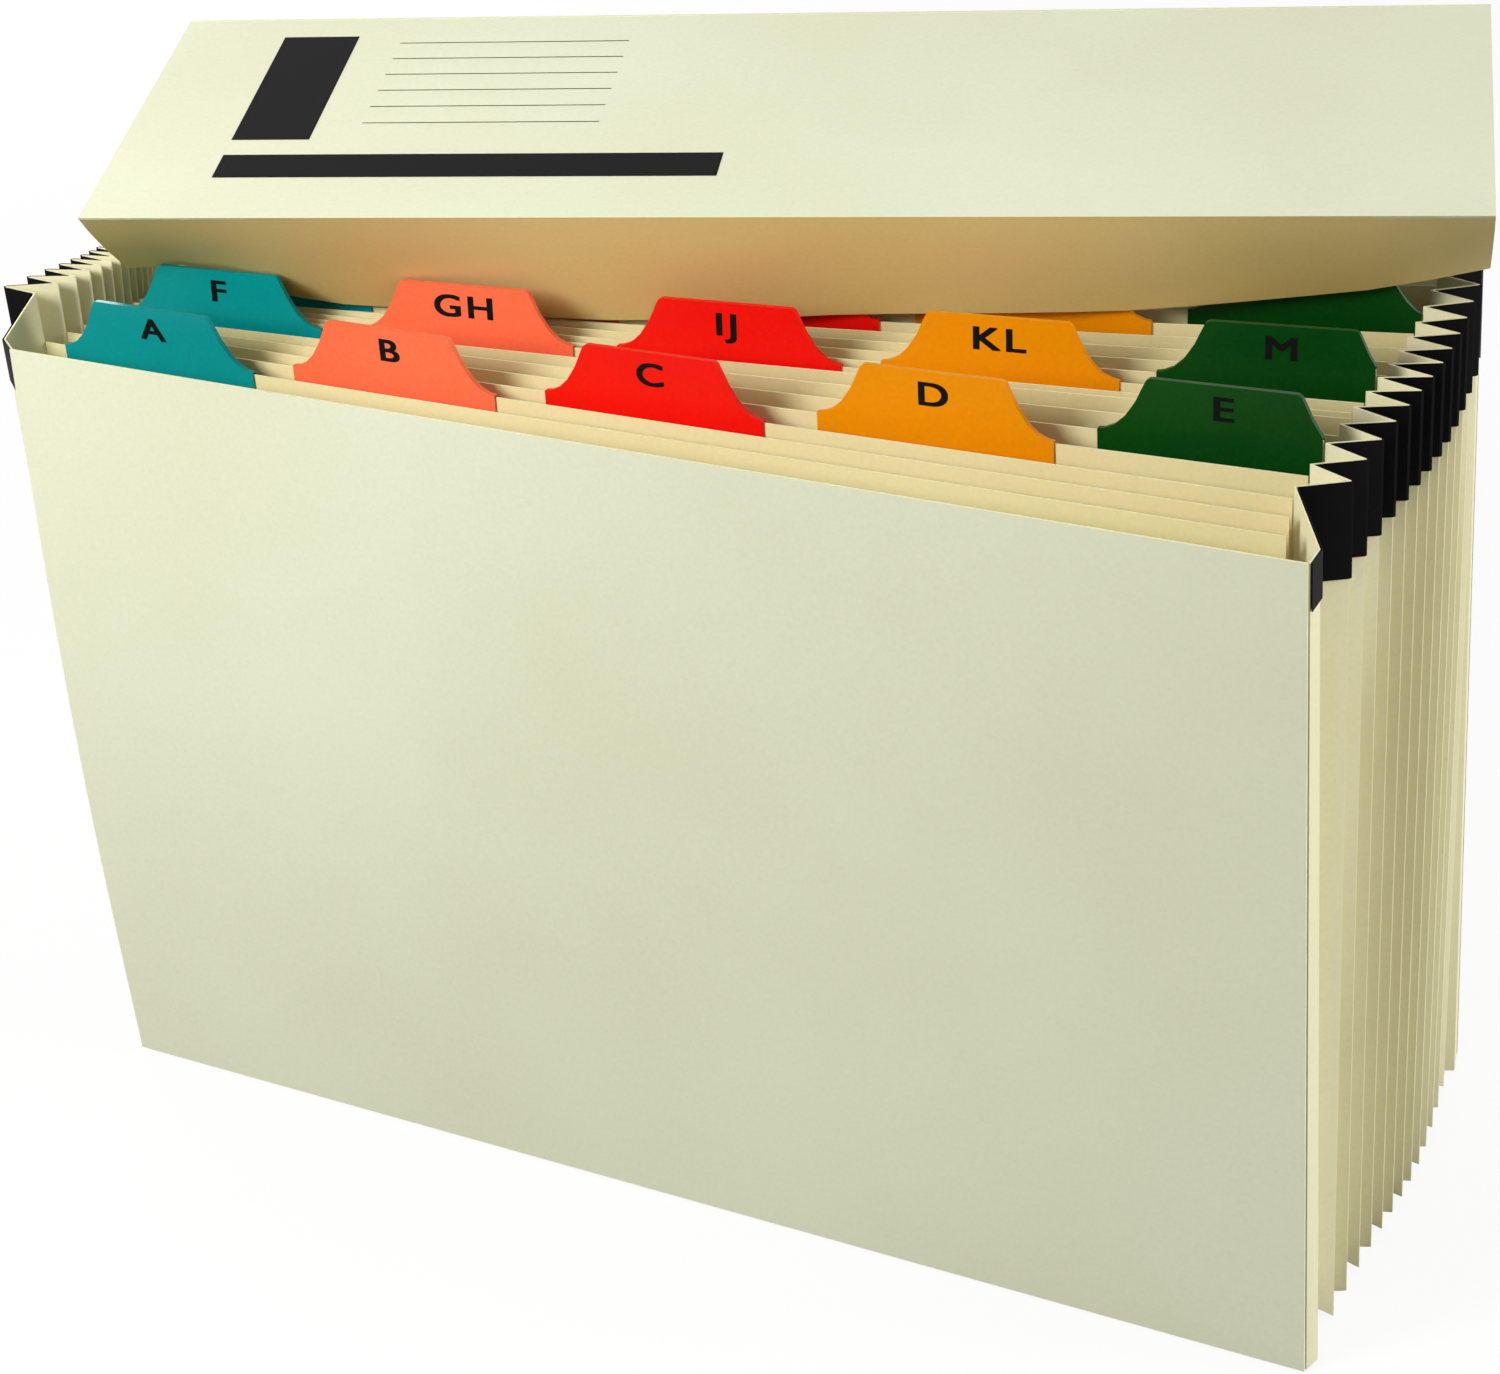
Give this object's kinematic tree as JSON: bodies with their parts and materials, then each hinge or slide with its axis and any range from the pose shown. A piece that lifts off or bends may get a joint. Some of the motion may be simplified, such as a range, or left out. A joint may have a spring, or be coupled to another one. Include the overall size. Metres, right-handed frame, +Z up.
{
  "type": "expanding file",
  "caption": "Card expanding file with pleated sides, tabbed dividers in coloured film and a folding flap, standing open like a fan.",
  "frame": {"origin": "on the standing surface, below the middle of the whole file at rest", "axes": "+Z up, +X along the flap to the right, -Y towards the viewer, who sees the front cover"},
  "size_m": [0.4014, 0.244, 0.2823],
  "materials": {
    "cover_card": "matte, smooth",
    "bellows_card": "matte",
    "divider_card": "matte",
    "film_teal": "gloss film",
    "film_coral": "gloss film",
    "film_red": "gloss film",
    "film_orange": "gloss film",
    "film_green": "gloss film",
    "black_tape": "coated cloth tape"
  },
  "bodies": {
    "file_body": {"front_cover": "cover_card", "rear_cover": "cover_card", "divider_01": "divider_card", "tab_film_01": "film_teal", "divider_02": "divider_card", "tab_film_02": "film_coral", "divider_03": "divider_card", "tab_film_03": "film_red", "divider_04": "divider_card", "tab_film_04": "film_orange", "divider_05": "divider_card", "tab_film_05": "film_green", "divider_06": "divider_card", "tab_film_06": "film_teal", "divider_07": "divider_card", "tab_film_07": "film_coral", "divider_08": "divider_card", "tab_film_08": "film_red", "divider_09": "divider_card", "tab_film_09": "film_orange", "divider_10": "divider_card", "tab_film_10": "film_green", "divider_11": "divider_card", "tab_film_11": "film_teal", "divider_12": "divider_card", "tab_film_12": "film_coral", "divider_13": "divider_card", "tab_film_13": "film_red", "divider_14": "divider_card", "tab_film_14": "film_orange", "divider_15": "divider_card", "tab_film_15": "film_green", "divider_16": "divider_card", "tab_film_16": "film_teal", "bellows_right": "bellows_card", "bellows_left": "bellows_card", "bellows_bottom": "bellows_card", "edge_tape_right": "black_tape", "edge_tape_left": "black_tape"},
    "flap_back": {"flap_back_panel": "cover_card"},
    "flap_front": {"flap_front_panel": "cover_card"}
  },
  "joints": [
    {"name": "flap_rear_crease", "type": "hinge", "parent": "file_body", "child": "flap_back", "pos_m": [0, 0.07851, 0.2226], "axis": [-1, 0, 0], "range_deg": [0, 75]},
    {"name": "flap_far_crease", "type": "hinge", "parent": "flap_back", "child": "flap_front", "pos_m": [0, 0.12241, 0.2823], "axis": [-1, 0, 0], "range_deg": [0, 165]}
  ]
}
